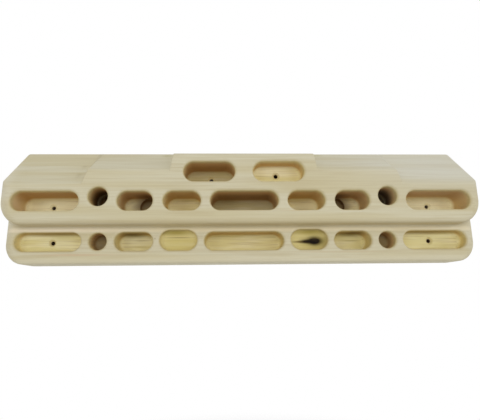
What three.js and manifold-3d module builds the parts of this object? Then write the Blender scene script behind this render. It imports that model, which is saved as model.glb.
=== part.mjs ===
// Hangboard: a two-tier wooden training board for climbers, in millimetres, +Z up.
// The blank is laminated: three layers are glued face to face, and each layer is glued edge to edge
// from full-length staves. It is then machined as one, so each stave is modelled as the machined
// body between its own glue faces.
// The origin is the middle of the flat back face, which goes against the wall. The front looks
// towards -Y. Inside the group, y runs from the front face back and z from the bottom edge up.

import * as THREE from "three";
import { mergeVertices } from "three/addons/utils/BufferGeometryUtils.js";
import Module from "manifold-3d";

const wasm = await Module();
wasm.setup();

// The blank and its layers
const board_length = 580;
const board_depth = 58;
const tier_step = 21.5; // the upper tier stands this far in front of the lower one
const front_thickness = 18.5;
const core_thickness = 15;
const joint_stagger = 1.5; // how far the edge joints of one layer lie off those of the next

// Heights, stacked from the bottom edge up
const bottom_wall = 15.2;
const lower_pocket_height = 22.6;
const shelf_wall = 6.6; // lower pockets up to the upper tier's underside
const lip_wall = 15.8; // that underside up to the upper pockets
const upper_pocket_height = 23.5;
const brow_wall = 8.3; // upper pockets up to the front edge of the outer slopers

// Sloping tops: degrees from level, front edge to back edge
const outer_sloper_angle = 45;
const inner_sloper_angle = 35;
const block_angle = 19;
const sloper_blend = 8; // length of the soft change from the outer to the inner sloper
const block_blend = 5; // length of the rounded side of the raised middle block

// Roundings
const upper_corner_radius = 29; // lower corners of the upper tier, seen from the front
const lower_corner_radius = 25;
const edge_radius = 6; // front edges, and the ends of the sloping tops
const end_radius = 15; // from the front faces round to the ends
const cove_radius = 2.5; // inner corner under the upper tier
const mouth_radius = 3.5; // rim of every pocket
const floor_radius = 3; // inner corner at the bottom of every pocket

// Upper row, from the middle outwards: width of each pocket, and depth from its own tier's face
const upper_centre_width = 81.3;
const upper_centre_depth = 50;
const upper_three_finger_width = 44.5;
const upper_three_finger_depth = 41;
const upper_two_finger_width = 41.6;
const upper_two_finger_depth = 41;
const upper_mono_diameter = 22.9;
const upper_mono_depth = 50;
const upper_mono_rise = 5.2; // the upper monos sit this much above the row's middle line
const upper_slot_width = 78.6;
const upper_slot_depth = 41;
const inner_bore_diameter = 21.6; // a deeper one-finger bore in each upper two-finger pocket
const inner_bore_depth = 50;

// Lower row, likewise
const lower_centre_width = 96.9;
const lower_centre_depth = 27;
const lower_three_finger_width = 45;
const lower_three_finger_depth = 9;
const lower_three_finger_extra_height = 2.5; // these shallow pockets are a little taller
const lower_two_finger_width = 45.7;
const lower_two_finger_depth = 26;
const lower_mono_diameter = 20.8;
const lower_mono_depth = 28;
const lower_slot_width = 78.6;
const lower_slot_depth = 16;

// Pockets of the raised middle block
const top_pocket_width = 62;
const top_pocket_height = 24.6;
const top_pocket_gap = 22; // wood between the two
const left_top_pocket_depth = 42;
const right_top_pocket_depth = 23;
const top_pocket_lift = 12; // upper pockets up to the top pockets
const block_wall = 12.1; // top pocket to the side of the block

// Countersunk holes for the wall screws
const screw_hole_diameter = 5;
const countersink_diameter = 9.5;
const countersink_angle = 45; // degrees from the hole's axis
const upper_screw_offset = 6; // outwards from the middle of the upper slots
const top_screw_offset = 1; // inwards from the middle of the top pockets

// Walls between pockets, as shares of the length that a row's pockets leave over
const upper_wall_shares = [0.186, 0.2, 0.18, 0.178];
const lower_wall_shares = [0.177, 0.168, 0.187, 0.191];

// Smoothness of the curves
const end_segments = 10; // a pocket's half-round end
const mono_segments = 20;
const corner_segments = 8;
const round_segments = 3; // a quarter round along an edge or rim
const end_round_segments = 5; // the longer one from a front face round to an end
const blend_segments = 4;
const hole_segments = 16;

const overrun = 10; // how far cuts run past the wood

// Heights and lengths that follow from the sizes above
const half_length = board_length / 2;
const lower_row_height = bottom_wall + lower_pocket_height / 2;
const soffit_height = bottom_wall + lower_pocket_height + shelf_wall;
const upper_row_height = soffit_height + lip_wall + upper_pocket_height / 2;
const upper_pocket_top = upper_row_height + upper_pocket_height / 2;
const outer_face_height = upper_pocket_top + brow_wall;
const board_height = outer_face_height + sloperRise(outer_sloper_angle);
const top_pocket_centre = (top_pocket_gap + top_pocket_width) / 2;
const top_pocket_height_up = upper_pocket_top + top_pocket_lift + top_pocket_height / 2;
const block_half_width = top_pocket_gap / 2 + top_pocket_width + block_wall;

function radians(degrees) {
  return THREE.MathUtils.degToRad(degrees);
}

// How much a sloping top climbs from the front face to the back
function sloperRise(angle) {
  return board_depth * Math.tan(radians(angle));
}

// Points of a quarter round: across runs from 0 to the radius while along closes on the face
function quarterRound(radius, segments = round_segments) {
  return Array.from({ length: segments + 1 }, (_, step) => {
    const angle = radians((90 * step) / segments);
    return { across: radius * (1 - Math.cos(angle)), along: radius * (1 - Math.sin(angle)) };
  });
}

// How far a quarter round has drawn the wood in at a depth behind its face
function drawnIn(radius, depth) {
  const left = Math.max(radius - depth, 0);
  return radius - Math.sqrt(radius ** 2 - left ** 2);
}

// Closed mesh through matching outlines, each given counter-clockwise about the stations' direction
function loft(sections, place) {
  const count = sections[0].outline.length;
  const positions = sections.flatMap(({ outline, station }) =>
    outline.flatMap((point) => place(point.x, point.y, station).toArray()),
  );
  const indices = [];
  for (let section = 0; section < sections.length - 1; section += 1) {
    for (let corner = 0; corner < count; corner += 1) {
      const here = section * count + corner;
      const beside = section * count + ((corner + 1) % count);
      indices.push(here, beside, beside + count, here, beside + count, here + count);
    }
  }
  const last = (sections.length - 1) * count;
  for (const [a, b, c] of THREE.ShapeUtils.triangulateShape(sections[0].outline, [])) {
    indices.push(a, c, b);
  }
  for (const [a, b, c] of THREE.ShapeUtils.triangulateShape(sections.at(-1).outline, [])) {
    indices.push(last + a, last + b, last + c);
  }
  const geometry = new THREE.BufferGeometry();
  geometry.setAttribute("position", new THREE.Float32BufferAttribute(positions, 3));
  geometry.setIndex(indices);
  return geometry;
}

// Solid for cutting and joining, without the empty triangles that poles and seams leave
function toSolid(geometry) {
  const bare = geometry.clone();
  bare.deleteAttribute("normal");
  bare.deleteAttribute("uv");
  const merged = mergeVertices(bare);
  const kept = [];
  for (let first = 0; first < merged.index.count; first += 3) {
    const [a, b, c] = merged.index.array.slice(first, first + 3);
    if (a !== b && b !== c && c !== a) {
      kept.push(a, b, c);
    }
  }
  return new wasm.Manifold(
    new wasm.Mesh({
      numProp: 3,
      vertProperties: new Float32Array(merged.attributes.position.array),
      triVerts: new Uint32Array(kept),
    }),
  );
}

function toGeometry(solid) {
  const { vertProperties, triVerts } = solid.getMesh();
  const geometry = new THREE.BufferGeometry();
  geometry.setAttribute("position", new THREE.Float32BufferAttribute(vertProperties, 3));
  geometry.setIndex(Array.from(triVerts));
  geometry.computeVertexNormals();
  return geometry;
}

// Front view outlines are drawn in x and z; their stations run from the back to the front
function frontView(x, z, depth) {
  return new THREE.Vector3(x, depth, z);
}

const upper_tier = { bottom: soffit_height, corner_radius: upper_corner_radius };
const lower_tier = { bottom: 0, corner_radius: lower_corner_radius };

// Outline of a tier with rounded lower corners. Its ends and its lower edge are drawn in by their
// own amounts, or let out where an amount is negative
function tierOutline({ bottom, corner_radius }, end_inset, edge_inset) {
  const side = Math.min(half_length, half_length - end_inset);
  const top = board_height + overrun;
  const points = [];
  for (let step = 0; step <= corner_segments; step += 1) {
    const angle = radians((90 * step) / corner_segments);
    const x = half_length - corner_radius + (corner_radius - end_inset) * Math.sin(angle);
    const z = bottom + corner_radius - (corner_radius - edge_inset) * Math.cos(angle);
    points.push(new THREE.Vector2(Math.min(x, side), z));
  }
  points.push(new THREE.Vector2(side, top));
  const mirrored = points.map((point) => new THREE.Vector2(-point.x, point.y)).reverse();
  return [...points, ...mirrored];
}

// Sections that round a tier's front edge, and over a longer radius its ends
function roundedFront(tier, face) {
  return quarterRound(end_radius, end_round_segments).map(({ across, along }) => ({
    outline: tierOutline(tier, across, drawnIn(edge_radius, along)),
    station: face + along,
  }));
}

// Both tiers run to the back; the upper one ends in a cove where it meets the lower face
function upperTier() {
  const cove = quarterRound(cove_radius).map(({ across, along }) => ({
    outline: tierOutline(upper_tier, -across, -across),
    station: tier_step - along,
  }));
  const plain = tierOutline(upper_tier, 0, 0);
  const sections = [
    { outline: plain, station: board_depth },
    { outline: plain, station: tier_step },
    ...cove.reverse(),
    ...roundedFront(upper_tier, 0),
  ];
  return toSolid(loft(sections, frontView));
}

function lowerTier() {
  const plain = { outline: tierOutline(lower_tier, 0, 0), station: board_depth };
  return toSolid(loft([plain, ...roundedFront(lower_tier, tier_step)], frontView));
}

// Height of the sloping top's front edge, which falls in soft steps from the block to the ends
function frontEdgeHeight(x, boundary) {
  const block = board_height - sloperRise(block_angle);
  const inner = board_height - sloperRise(inner_sloper_angle);
  const outer = board_height - sloperRise(outer_sloper_angle);
  const off_block = THREE.MathUtils.smoothstep(x, block_half_width, block_half_width + block_blend);
  const off_inner = THREE.MathUtils.smoothstep(
    x,
    boundary - sloper_blend / 2,
    boundary + sloper_blend / 2,
  );
  return block + (inner - block) * off_block + (outer - inner) * off_inner;
}

// Side view outline, in y and z, of all the wood below the sloping top. The drop lowers the top and
// the setback moves the front face in, each square to itself, with the rounded edge between them
function sideOutline(front_edge, { drop, setback }) {
  const slope = Math.atan2(board_height - front_edge, board_depth);
  const back_edge = front_edge - drop / Math.cos(slope) + board_depth * Math.tan(slope);
  const edge = back_edge - (board_depth - setback) * Math.tan(slope);
  const turn = Math.PI / 2 - slope;
  const tangent = edge_radius * Math.tan(turn / 2);
  const back = board_depth + overrun;
  const outline = [
    new THREE.Vector2(-overrun, -overrun),
    new THREE.Vector2(back, -overrun),
    new THREE.Vector2(back, back_edge),
    new THREE.Vector2(board_depth, back_edge),
  ];
  for (let step = round_segments; step >= 0; step -= 1) {
    const angle = (turn * step) / round_segments;
    outline.push(
      new THREE.Vector2(
        setback + edge_radius * (1 - Math.cos(angle)),
        edge - tangent + edge_radius * Math.sin(angle),
      ),
    );
  }
  outline.push(new THREE.Vector2(-overrun, edge - tangent));
  return outline;
}

// Everything below the sloping tops, with the ends of the slopers rounded over
function belowTheTops(boundary) {
  const places = [];
  const blends = [
    [block_half_width, block_blend],
    [boundary - sloper_blend / 2, sloper_blend],
  ];
  for (const [start, length] of blends) {
    for (let step = 0; step <= blend_segments; step += 1) {
      places.push({ x: start + (length * step) / blend_segments, drop: 0, setback: 0 });
    }
  }
  for (const { across, along } of quarterRound(end_radius, end_round_segments)) {
    places.push({ x: half_length - along, drop: drawnIn(edge_radius, along), setback: across });
  }
  places.push({ x: half_length + overrun, drop: edge_radius, setback: end_radius });
  const mirrored = places.map((place) => ({ ...place, x: -place.x })).reverse();
  const sections = [...mirrored, ...places].map((place) => ({
    outline: sideOutline(frontEdgeHeight(Math.abs(place.x), boundary), place),
    station: place.x,
  }));
  return toSolid(loft(sections, (y, z, x) => new THREE.Vector3(x, y, z)));
}

// A pocket's wall from its floor to its mouth: how far it is drawn in at each depth
function pocketProfile(face, depth) {
  const floor = quarterRound(floor_radius).map(({ across, along }) => ({
    inset: across,
    depth: face + depth - along,
  }));
  const mouth = quarterRound(mouth_radius).map(({ across, along }) => ({
    inset: -across,
    depth: face + along,
  }));
  return [...floor.reverse(), ...mouth, { inset: -mouth_radius, depth: face - overrun }];
}

// Round-ended outline, drawn in x and z
function pocketOutline(x, z, width, height, inset) {
  const radius = height / 2 - inset;
  const reach = (width - height) / 2;
  const points = [];
  for (const side of [1, -1]) {
    for (let step = 0; step <= end_segments; step += 1) {
      const angle = radians(side * 90 - 180 + (180 * step) / end_segments);
      points.push(
        new THREE.Vector2(x + side * reach + radius * Math.cos(angle), z + radius * Math.sin(angle)),
      );
    }
  }
  return points;
}

function pocketCutter({ x, z, width, height, depth }, face) {
  const sections = pocketProfile(face, depth).map((wall) => ({
    outline: pocketOutline(x, z, width, height, wall.inset),
    station: wall.depth,
  }));
  return toSolid(loft(sections, frontView));
}

// A profile of radius against depth, listed from the deep end out and turned about that depth.
// It starts half a facet round, so that its edges fall between those of a round-ended pocket.
function turnedCutter(x, z, profile, segments) {
  const points = profile.map(({ radius, depth }) => new THREE.Vector2(radius, depth)).reverse();
  const geometry = new THREE.LatheGeometry(points, segments, Math.PI / segments);
  geometry.translate(x, 0, z);
  return toSolid(geometry);
}

function monoCutter({ x, z, width, depth }, face) {
  const wall = pocketProfile(face, depth).map(({ inset, depth: at }) => ({
    radius: width / 2 - inset,
    depth: at,
  }));
  const profile = [{ radius: 0, depth: wall[0].depth }, ...wall, { radius: 0, depth: wall.at(-1).depth }];
  return turnedCutter(x, z, profile, mono_segments);
}

// The deeper bore has no rim of its own: it opens in the floor of its pocket
function innerBoreCutter({ x, z, width, height, depth: pocket_depth }) {
  const side = Math.sign(x);
  const radius = inner_bore_diameter / 2;
  const end = inner_bore_depth;
  const floor = quarterRound(floor_radius).map(({ across, along }) => ({
    radius: radius - across,
    depth: end - along,
  }));
  const start = pocket_depth - mouth_radius - floor_radius;
  const profile = [
    { radius: 0, depth: end },
    ...floor.reverse(),
    { radius, depth: start },
    { radius: 0, depth: start },
  ];
  return turnedCutter(x - (side * (width - height)) / 2, z, profile, mono_segments);
}

function screwHoleCutter(x, z, floor_depth) {
  const head = countersink_diameter / 2;
  const shank = screw_hole_diameter / 2;
  const cone = (head - shank) / Math.tan(radians(countersink_angle));
  const profile = [
    { radius: 0, depth: board_depth + overrun },
    { radius: shank, depth: board_depth + overrun },
    { radius: shank, depth: floor_depth + cone },
    { radius: head, depth: floor_depth },
    { radius: head, depth: floor_depth - countersink_diameter },
    { radius: 0, depth: floor_depth - countersink_diameter },
  ];
  return turnedCutter(x, z, profile, hole_segments);
}

// Sets a row out from its middle slot to the ends, the same on both sides
function setOutRow(kinds, height, wall_shares) {
  const taken = kinds.reduce((sum, kind) => sum + kind.width, 0) - kinds[0].width / 2;
  const spare = half_length - taken;
  let edge = kinds[0].width / 2;
  const row = [{ ...kinds[0], x: 0, z: height }];
  kinds.slice(1).forEach((kind, place) => {
    edge += spare * wall_shares[place];
    for (const side of [-1, 1]) {
      row.push({ ...kind, x: side * (edge + kind.width / 2), z: height + kind.rise });
    }
    edge += kind.width;
  });
  return row;
}

// What each row holds, from the middle outwards
const upper_kinds = [
  { name: "centre", width: upper_centre_width, height: upper_pocket_height, depth: upper_centre_depth },
  {
    name: "three_finger",
    width: upper_three_finger_width,
    height: upper_pocket_height,
    depth: upper_three_finger_depth,
    rise: 0,
  },
  {
    name: "two_finger",
    width: upper_two_finger_width,
    height: upper_pocket_height,
    depth: upper_two_finger_depth,
    rise: 0,
  },
  {
    name: "mono",
    width: upper_mono_diameter,
    height: upper_mono_diameter,
    depth: upper_mono_depth,
    rise: upper_mono_rise,
  },
  {
    name: "slot",
    width: upper_slot_width,
    height: upper_pocket_height,
    depth: upper_slot_depth,
    rise: 0,
  },
];
const lower_kinds = [
  { name: "centre", width: lower_centre_width, height: lower_pocket_height, depth: lower_centre_depth },
  {
    name: "three_finger",
    width: lower_three_finger_width,
    height: lower_pocket_height + lower_three_finger_extra_height,
    depth: lower_three_finger_depth,
    rise: lower_three_finger_extra_height / 2,
  },
  {
    name: "two_finger",
    width: lower_two_finger_width,
    height: lower_pocket_height,
    depth: lower_two_finger_depth,
    rise: 0,
  },
  {
    name: "mono",
    width: lower_mono_diameter,
    height: lower_mono_diameter,
    depth: lower_mono_depth,
    rise: 0,
  },
  {
    name: "slot",
    width: lower_slot_width,
    height: lower_pocket_height,
    depth: lower_slot_depth,
    rise: 0,
  },
];

const upper_row = setOutRow(upper_kinds, upper_row_height, upper_wall_shares);
const lower_row = setOutRow(lower_kinds, lower_row_height, lower_wall_shares);
const top_row = [-1, 1].map((side) => ({
  name: "top",
  width: top_pocket_width,
  height: top_pocket_height,
  depth: side < 0 ? left_top_pocket_depth : right_top_pocket_depth,
  x: side * top_pocket_centre,
  z: top_pocket_height_up,
}));

// The outer sloper begins over the middle of the wall between the upper mono and the upper slot
function sloperBoundary() {
  const mono = upper_row.find(({ name, x }) => name === "mono" && x > 0);
  const slot = upper_row.find(({ name, x }) => name === "slot" && x > 0);
  return (mono.x + mono.width / 2 + slot.x - slot.width / 2) / 2;
}

// Every cut that is made from the front
function frontCutters() {
  const cutters = [];
  for (const [row, face] of [
    [upper_row, 0],
    [lower_row, tier_step],
    [top_row, 0],
  ]) {
    for (const pocket of row) {
      cutters.push(pocket.name === "mono" ? monoCutter(pocket, face) : pocketCutter(pocket, face));
    }
  }
  for (const pocket of upper_row.filter(({ name }) => name === "two_finger")) {
    cutters.push(innerBoreCutter(pocket));
  }
  return cutters;
}

// Two screws through each row's end slots and two through the top pockets
function screwCutters() {
  const holes = [];
  for (const pocket of upper_row.filter(({ name }) => name === "slot")) {
    holes.push([pocket.x + Math.sign(pocket.x) * upper_screw_offset, pocket.z, pocket.depth]);
  }
  for (const pocket of lower_row.filter(({ name }) => name === "slot")) {
    holes.push([pocket.x, pocket.z, tier_step + pocket.depth]);
  }
  for (const pocket of top_row) {
    holes.push([pocket.x - Math.sign(pocket.x) * top_screw_offset, pocket.z, pocket.depth]);
  }
  return holes.map(([x, z, floor_depth]) => screwHoleCutter(x, z, floor_depth));
}

function machinedBlank() {
  const blank = upperTier().add(lowerTier()).intersect(belowTheTops(sloperBoundary()));
  return [...frontCutters(), ...screwCutters()].reduce((wood, cutter) => wood.subtract(cutter), blank);
}

// The part of the machined blank that lies between its glue faces and its edge joints
function stave(wood, { front, back }, bottom, top) {
  const slab = new THREE.BoxGeometry(board_length + 2 * overrun, back - front, top - bottom);
  slab.translate(0, (front + back) / 2, (bottom + top) / 2);
  return toGeometry(wood.intersect(toSolid(slab)));
}

// The edge joints run through the rows of pockets. The upper joint lies between the middles of the
// slots and of the monos, so that each of them is shared by two staves.
const lower_joint = lower_row_height;
const upper_joint = upper_row_height + upper_mono_rise / 2;
const top_joint = top_pocket_height_up;
const core_back = front_thickness + core_thickness;

// Every layer from the front back, with its edge joints and its staves from the bottom up
const layers = [
  {
    front: 0,
    back: front_thickness,
    joints: [upper_joint, top_joint],
    names: ["front_middle_stave", "front_upper_stave", "front_top_stave"],
    color: 0xdcd5bf,
  },
  {
    front: front_thickness,
    back: core_back,
    joints: [lower_joint - joint_stagger, upper_joint + joint_stagger, top_joint + joint_stagger],
    names: ["core_bottom_stave", "core_middle_stave", "core_upper_stave", "core_top_stave"],
    color: 0xd9d1b8,
  },
  {
    front: core_back,
    back: board_depth,
    joints: [lower_joint, upper_joint - joint_stagger, top_joint - joint_stagger],
    names: ["back_bottom_stave", "back_middle_stave", "back_upper_stave", "back_top_stave"],
    color: 0xd8cda9,
  },
];

const wood = machinedBlank();
const hangboard = new THREE.Group();
for (const layer of layers) {
  const edges = [-overrun, ...layer.joints, board_height + overrun];
  layer.names.forEach((name, place) => {
    const timber = new THREE.MeshStandardMaterial({
      color: layer.color,
      roughness: 0.6,
      metalness: 0,
    });
    const mesh = new THREE.Mesh(stave(wood, layer, edges[place], edges[place + 1]), timber);
    mesh.name = name;
    hangboard.add(mesh);
  });
}
hangboard.position.set(0, -board_depth, -board_height / 2);
hangboard.updateMatrixWorld(true);

export default hangboard;
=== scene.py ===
"""Looks of a two-tier wooden hangboard: eleven machined tulipwood staves, a pale studio and the camera.

The board hangs with its flat back at y = 0. x runs to the right, y back towards the wall and z up from the
middle of the board's height, all in metres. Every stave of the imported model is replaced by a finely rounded
body of the same shape: the blank is lofted, its pockets and screw holes are cut, and the result is divided at
the glue joints.
"""

import logging
import math
from dataclasses import dataclass, field
from enum import Enum
from typing import Any, ClassVar, Iterable, Sequence

import bpy
import numpy as np
from mathutils import Matrix, Vector


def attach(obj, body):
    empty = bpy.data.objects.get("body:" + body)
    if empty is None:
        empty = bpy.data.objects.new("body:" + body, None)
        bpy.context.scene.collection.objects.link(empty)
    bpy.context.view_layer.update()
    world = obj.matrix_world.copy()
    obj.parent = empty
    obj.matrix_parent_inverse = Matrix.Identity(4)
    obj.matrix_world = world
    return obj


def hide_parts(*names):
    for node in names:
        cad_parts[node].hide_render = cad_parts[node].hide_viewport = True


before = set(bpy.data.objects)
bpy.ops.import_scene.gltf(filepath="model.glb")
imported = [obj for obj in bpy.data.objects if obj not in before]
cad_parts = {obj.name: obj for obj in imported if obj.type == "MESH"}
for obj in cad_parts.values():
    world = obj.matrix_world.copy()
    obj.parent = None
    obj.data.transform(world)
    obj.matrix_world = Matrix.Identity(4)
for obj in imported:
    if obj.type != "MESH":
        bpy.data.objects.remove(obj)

LOG = logging.getLogger("hangboard")
MM = 0.001
# How far cutters and rough outlines run past the board.
OVERRUN = 10 * MM
MATH = "ShaderNodeMath"
MAP_RANGE = "ShaderNodeMapRange"

Outline = np.ndarray
Colour = tuple[float, float, float, float]
Corner = tuple[str | None, str, str | None]
Body = bpy.types.Object
Material = bpy.types.Material
Socket = bpy.types.NodeSocket
Tree = bpy.types.NodeTree

# Corners of the cutters' profiles, from the deep end to the front. Each names the inputs that say how far it
# is let out, how deep it stands and how it is rounded. A pocket's flat floor is rounded into its wall, which
# rounds out into the face. A bore opens in a pocket's floor. A countersunk hole has a straight shank, a cone,
# and the way in for the screw's head.
FLOOR_CORNERS: tuple[Corner, ...] = (("Inside", "Floor", None), (None, "Floor", "Floor radius"))
BORE_PROFILE = (*FLOOR_CORNERS, (None, "Front end", None))
POCKET_PROFILE = (
    *FLOOR_CORNERS,
    (None, "Face", "Rim radius"),
    ("Rim radius", "Face", None),
    ("Rim radius", "Front end", None),
)
SCREW_HOLE_PROFILE = (
    (None, "Back end", None),
    (None, "Cone start", None),
    ("Overhang", "Floor", None),
    ("Overhang", "Front end", None),
)


class Layer(Enum):
    """The three layers of the blank; each stave takes its layer's finish."""

    FRONT = "front_layer_wood"
    CORE = "core_layer_wood"
    BACK = "back_layer_wood"


def srgb(value: str) -> Colour:
    """Turns an sRGB hex colour into linear light.

    Args:
        value: Six hex digits after a hash sign.

    Returns:
        Red, green, blue and alpha from 0 to 1.
    """
    channels = [int(value[place : place + 2], 16) / 255 for place in (1, 3, 5)]
    linear = [c / 12.92 if c <= 0.04045 else ((c + 0.055) / 1.055) ** 2.4 for c in channels]
    return (*linear, 1.0)


def add(
    tree: Tree, kind: str, inputs: dict[int | str, Any] | Sequence[Any] = (), **settings: Any
) -> bpy.types.NodeOutputs:
    """Adds a node to a tree with its settings, values and links.

    Args:
        tree: Tree that gets the node.
        kind: Blender's name of the node type.
        inputs: Values, or output sockets to link, in order or by input name or number.
        settings: Properties of the node.

    Returns:
        The new node's outputs.
    """
    node = tree.nodes.new(kind)
    for name, value in settings.items():
        setattr(node, name, value)
    given = inputs if isinstance(inputs, dict) else dict(enumerate(inputs))
    for name, value in given.items():
        if isinstance(value, Socket):
            tree.links.new(value, node.inputs[name])
        else:
            node.inputs[name].default_value = value
    return node.outputs


def bare_tree(owner: Material | bpy.types.World) -> Tree:
    """Gives a material or a world an empty node tree.

    Args:
        owner: What gets the tree.

    Returns:
        The tree.
    """
    owner.use_nodes = True
    owner.node_tree.nodes.clear()
    return owner.node_tree


def distance_from(tree: Tree, place: Socket, middle: Sequence[float], scale: Sequence[float]) -> Socket:
    """Adds the nodes that measure the distance from a middle.

    Args:
        tree: Tree that gets the nodes.
        place: Where each point is.
        middle: Where the distance is none.
        scale: How much a step along each axis counts.

    Returns:
        The distance.
    """
    shift = tuple(-number * factor for number, factor in zip(middle, scale))
    mapped = add(tree, "ShaderNodeMapping", {"Vector": place, "Location": shift, "Scale": scale})[0]
    return add(tree, "ShaderNodeVectorMath", (mapped,), operation="LENGTH")["Value"]


@dataclass(frozen=True)
class BoardSizes:
    """Driving sizes of the machined blank, in metres and degrees."""

    length: float = 580 * MM
    depth: float = 58 * MM
    tier_step: float = 21.5 * MM

    # The glued layers, and how far the joints of one lie off those of the next.
    front_thickness: float = 18.5 * MM
    core_thickness: float = 15 * MM
    joint_stagger: float = 1.5 * MM

    # Walls and pockets from the bottom edge up to the sloping top's front edge.
    bottom_wall: float = 15.2 * MM
    lower_pocket_height: float = 22.6 * MM
    shelf_wall: float = 6.6 * MM
    lip_wall: float = 15.8 * MM
    upper_pocket_height: float = 23.5 * MM
    brow_wall: float = 8.3 * MM

    # Slopes of the top, and the lengths over which one turns into the next.
    outer_sloper_angle: float = 45
    inner_sloper_angle: float = 35
    block_angle: float = 19
    sloper_blend: float = 8 * MM
    block_blend: float = 5 * MM

    # Roundings.
    upper_corner_radius: float = 29 * MM
    lower_corner_radius: float = 25 * MM
    edge_radius: float = 6 * MM
    end_radius: float = 15 * MM
    cove_radius: float = 2.5 * MM
    rim_radius: float = 3.5 * MM
    floor_radius: float = 5 * MM

    # Pockets of the raised block, and how far the upper one-finger holes lie above their row.
    block_pocket_width: float = 62 * MM
    block_pocket_height: float = 24.6 * MM
    block_pocket_gap: float = 22 * MM
    block_pocket_lift: float = 12 * MM
    block_wall: float = 12.1 * MM
    upper_mono_rise: float = 5.2 * MM

    @property
    def half_length(self) -> float:
        """From the middle to an end."""
        return self.length / 2

    @property
    def lower_row(self) -> float:
        """Height of the lower row's middle above the bottom edge."""
        return self.bottom_wall + self.lower_pocket_height / 2

    @property
    def soffit(self) -> float:
        """Height of the upper tier's underside."""
        return self.bottom_wall + self.lower_pocket_height + self.shelf_wall

    @property
    def upper_row(self) -> float:
        """Height of the upper row's middle."""
        return self.soffit + self.lip_wall + self.upper_pocket_height / 2

    @property
    def block_row(self) -> float:
        """Height of the middle of the block's two pockets."""
        upper_top = self.upper_row + self.upper_pocket_height / 2
        return upper_top + self.block_pocket_lift + self.block_pocket_height / 2

    @property
    def height(self) -> float:
        """Height of the whole board."""
        front_edge = self.upper_row + self.upper_pocket_height / 2 + self.brow_wall
        return front_edge + self.rise(self.outer_sloper_angle)

    @property
    def block_half_width(self) -> float:
        """From the middle to the side of the raised block."""
        return self.block_pocket_gap / 2 + self.block_pocket_width + self.block_wall

    def rise(self, angle: float) -> float:
        """How far a sloping top climbs from the front face to the back."""
        return self.depth * math.tan(math.radians(angle))

    def y(self, depth: float) -> float:
        """Turns a depth behind the front face into the shared frame."""
        return depth - self.depth

    def z(self, height: float) -> float:
        """Turns a height above the bottom edge into the shared frame."""
        return height - self.height / 2


@dataclass(frozen=True)
class Smoothness:
    """How finely the curves are divided.

    Attributes:
        half_round: Steps in each round end of a pocket or bore.
        hole_half_round: The same for a screw hole.
        quarter_round: Steps in a rim, a floor's rounding, an edge or the cove.
        end_round: Steps in the rounding of the board's ends.
        corner: Steps in each lower corner.
        blend: Sections in each step of the sloping top.
    """

    half_round: int = 32
    hole_half_round: int = 24
    quarter_round: int = 8
    end_round: int = 20
    corner: int = 24
    blend: int = 16


@dataclass(frozen=True)
class Pocket:
    """One pocket, or a mirrored pair, in metres.

    Attributes:
        name: What the pocket is called in its row.
        width: Width of the opening, without its rim.
        height: Height of the opening, without its rim.
        depth: From the face that it is cut in to its floor.
        offset: From the board's middle to the pocket's middle, negative for a single one on the right.
        lift: Height of its middle above the bottom edge.
        face: How far the face that it is cut in lies behind the front.
        pocket_shade: How much painted shade browns its inside and darkens it with depth, from 0 to 1.
        count: 2 for a mirrored pair.
    """

    name: str
    width: float
    height: float
    depth: float
    offset: float
    lift: float
    face: float
    pocket_shade: float = 0.0
    count: int = 2

    @property
    def reach(self) -> float:
        """From the pocket's middle to the middle of its round end."""
        return (self.width - self.height) / 2

    def middles(self) -> list[float]:
        """The x of each pocket's middle."""
        return [-self.offset, self.offset][: self.count]


@dataclass(frozen=True)
class Kind:
    """One kind of pocket in a row: its size, its painted shade, and how far it lies above the row's middle.
    """

    name: str
    width: float
    height: float
    depth: float
    pocket_shade: float
    rise: float = 0.0


@dataclass(frozen=True)
class Row:
    """A row of pockets, set out from the middle to the ends.

    Attributes:
        kinds: The pockets from the middle outwards.
        wall_shares: Each wall between two pockets, as a share of the length that the pockets leave over.
        lift: Height of the row's middle.
        face: Depth of the face that the row is cut in.
    """

    kinds: tuple[Kind, ...]
    wall_shares: tuple[float, ...]
    lift: float
    face: float

    def pockets(self, half_length: float) -> list[Pocket]:
        """Places the pockets.

        Args:
            half_length: From the board's middle to its end.

        Returns:
            The middle pocket and the mirrored pairs.
        """
        middle = self.kinds[0]
        spare = half_length + middle.width / 2 - sum(kind.width for kind in self.kinds)
        edge = middle.width / 2
        size = (middle.width, middle.height, middle.depth)
        placed = [Pocket(middle.name, *size, 0.0, self.lift, self.face, middle.pocket_shade, count=1)]
        for kind, share in zip(self.kinds[1:], self.wall_shares):
            edge += spare * share
            size = (kind.width, kind.height, kind.depth)
            place = (edge + kind.width / 2, self.lift + kind.rise, self.face)
            placed.append(Pocket(kind.name, *size, *place, kind.pocket_shade))
            edge += kind.width
        return placed


def upper_pockets(sizes: BoardSizes) -> list[Pocket]:
    """The row of deep pockets in the upper tier.

    Args:
        sizes: The blank's sizes.

    Returns:
        The middle pocket and the mirrored pairs.
    """
    tall = sizes.upper_pocket_height
    # The last number of each kind is the painted shade of its inside.
    kinds = (
        Kind("centre", 81.3 * MM, tall, 50 * MM, 0.6),
        Kind("three_finger", 44.5 * MM, tall, 41 * MM, 0.2),
        Kind("two_finger", 41.6 * MM, tall, 41 * MM, 0.4),
        Kind("mono", 22.9 * MM, 22.9 * MM, 50 * MM, 1.0, sizes.upper_mono_rise),
        Kind("slot", 78.6 * MM, tall, 41 * MM, 0.3),
    )
    wall_shares = (0.186, 0.2, 0.18, 0.178)
    return Row(kinds, wall_shares, sizes.upper_row, face=0).pockets(sizes.half_length)


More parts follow.
